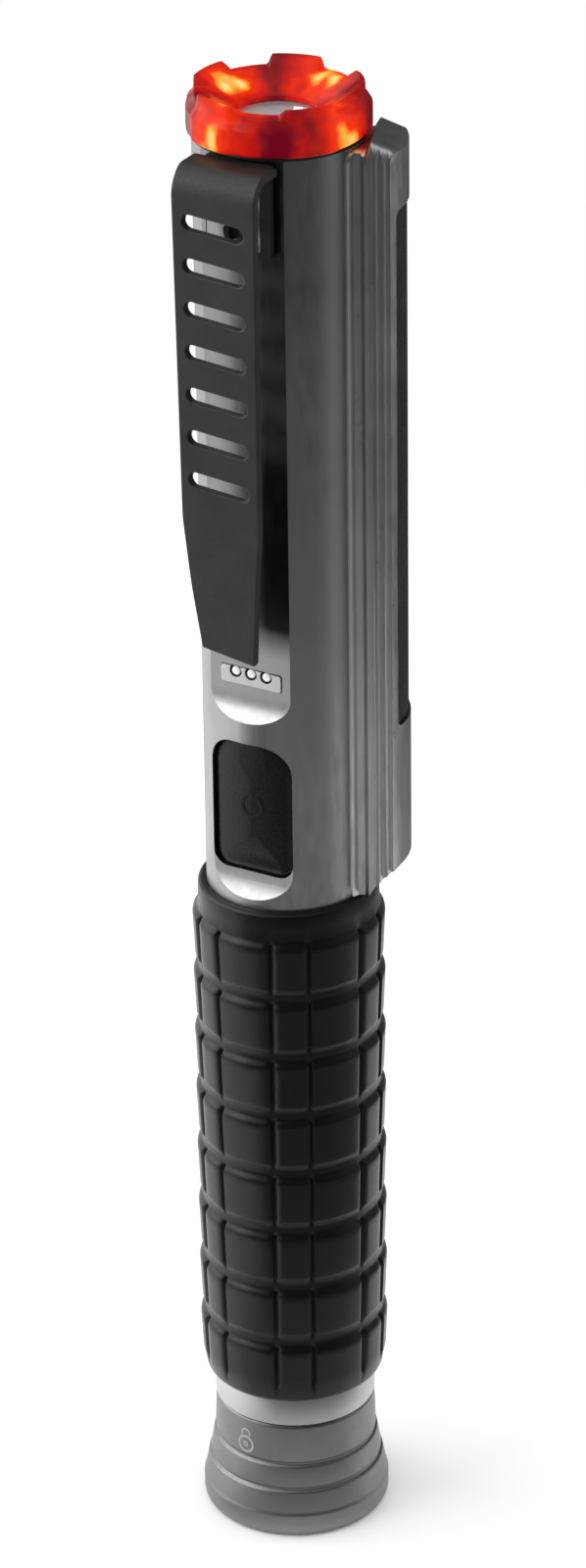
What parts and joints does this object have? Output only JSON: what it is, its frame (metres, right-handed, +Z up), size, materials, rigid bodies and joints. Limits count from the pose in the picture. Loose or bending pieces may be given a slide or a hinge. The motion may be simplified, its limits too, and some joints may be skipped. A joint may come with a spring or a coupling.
{
  "type": "traffic baton light",
  "caption": "Upright hand torch with a glowing red scalloped bezel, a side light bar, a slotted pocket clip, a ribbed rubber grip and a magnetic screw-off foot.",
  "frame": {"origin": "centre of the magnetic foot, on the plane it stands on", "axes": "+Z up along the baton to the red bezel; +X out of the face of the side light bar; the pocket clip faces 249 degrees round from +X, anticlockwise from above"},
  "size_m": [0.0351, 0.0364, 0.2483],
  "materials": {
    "body_metal": "satin hard-anodised, dark grey",
    "band_metal": "bare turned band",
    "cap_metal": "satin anodised, mid grey",
    "grip_rubber": "matte black moulded rubber",
    "black_rubber": "matte black rubber",
    "clip_steel": "black coated spring steel",
    "base_steel": "satin steel",
    "dark_screw": "blackened steel",
    "red_plastic": "clear red moulding, lit from behind",
    "white_plastic": "satin",
    "clear_plastic": "clear moulding",
    "smoked_plastic": "dark tinted, glossy",
    "circuit_board": "solder mask",
    "board_metal": "bare metal",
    "phosphor": "yellow phosphor strip",
    "led_white": "emitter dome",
    "led_red": "emitter dome",
    "lamp_dark": "unlit lamp ends",
    "mirror_coat": "polished cup",
    "spring_steel": "plated wire",
    "cell_wrap": "blue sleeve on a metal can",
    "magnet_nickel": "nickel plated magnet",
    "chip_black": "moulded electronics"
  },
  "bodies": {
    "body": {"battery_cell": "cell_wrap", "battery_terminal": "board_metal", "battery_tube": "body_metal", "bezel_ring": "red_plastic", "bezel_seal": "black_rubber", "body_housing": "body_metal", "clip_base": "base_steel", "clip_screw": "dark_screw", "cob_board": "board_metal", "cob_strip": "phosphor", "contact_board": "circuit_board", "driver_board": "circuit_board", "driver_chip": "chip_black", "driver_coil": "chip_black", "front_contact_spring": "spring_steel", "front_lens": "clear_plastic", "grip_sleeve": "grip_rubber", "hazard_led_1": "led_red", "hazard_led_2": "led_red", "hazard_led_3": "led_red", "hazard_led_4": "led_red", "hazard_led_board": "circuit_board", "indicator_board": "circuit_board", "indicator_lamp_1": "lamp_dark", "indicator_lamp_2": "lamp_dark", "indicator_lamp_3": "lamp_dark", "indicator_window": "white_plastic", "led_heatsink": "board_metal", "lens_gasket": "black_rubber", "light_bar_gasket": "black_rubber", "light_bar_lens": "smoked_plastic", "neck_ring": "band_metal", "reflector": "mirror_coat", "switch_board": "circuit_board", "switch_body": "chip_black", "switch_carrier": "white_plastic", "torch_led": "led_white", "torch_led_board": "board_metal"},
    "button": {"power_button": "black_rubber", "switch_plunger": "white_plastic"},
    "clip": {"pocket_clip": "clip_steel"},
    "cap_seal": {"tail_cap_seal": "black_rubber"},
    "tail": {"tail_cap": "cap_metal", "tail_magnet": "magnet_nickel", "magnet_plate": "base_steel", "tail_contact_board": "circuit_board", "tail_contact_spring": "spring_steel"}
  },
  "joints": [
    {"name": "power_button_press", "type": "slide", "parent": "body", "child": "button", "axis": [0.3584, 0.9336, 0], "range_m": [0, 0.0006], "stiffness_N_per_m": 4000},
    {"name": "clip_flex", "type": "hinge", "parent": "body", "child": "clip", "pos_m": [-0.00457, -0.0119, 0.2395], "axis": [-0.9336, 0.3584, 0], "range_deg": [0, 4], "stiffness_Nm_per_rad": 6},
    {"name": "tail_cap_turn", "type": "hinge", "parent": "body", "child": "cap_seal", "pos_m": [0, 0, 0.01], "axis": [0, 0, -1], "range_deg": [0, 1440]},
    {"name": "tail_cap_travel", "type": "slide", "parent": "cap_seal", "child": "tail", "axis": [0, 0, -1], "range_m": [0, 0.00601]}
  ],
  "couplings": [
    {"joint": "tail_cap_travel", "follows": "tail_cap_turn", "m_per_rad": 0.00023873}
  ]
}
